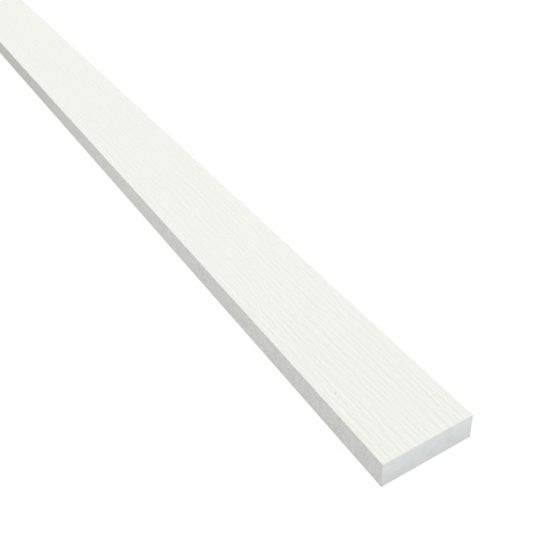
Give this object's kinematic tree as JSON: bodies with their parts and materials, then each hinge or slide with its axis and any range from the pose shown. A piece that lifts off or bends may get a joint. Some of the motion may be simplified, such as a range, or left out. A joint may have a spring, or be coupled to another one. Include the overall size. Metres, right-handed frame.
{
  "type": "fibre cement batten trim",
  "caption": "Straight solid batten of fibre cement with a flat rectangular section, eased edges, a wood-grain face and a white primed finish, used to cover the joints between wall panels.",
  "frame": {"origin": "middle of the back face, the side that goes against the wall", "axes": "+X along the length, +Y across the width, +Z out of the grained face"},
  "size_m": [3.6576, 0.0636, 0.0191],
  "materials": {
    "primed_fibre_cement": "matte"
  },
  "bodies": {
    "root": {"batten": "primed_fibre_cement"}
  },
  "joints": []
}
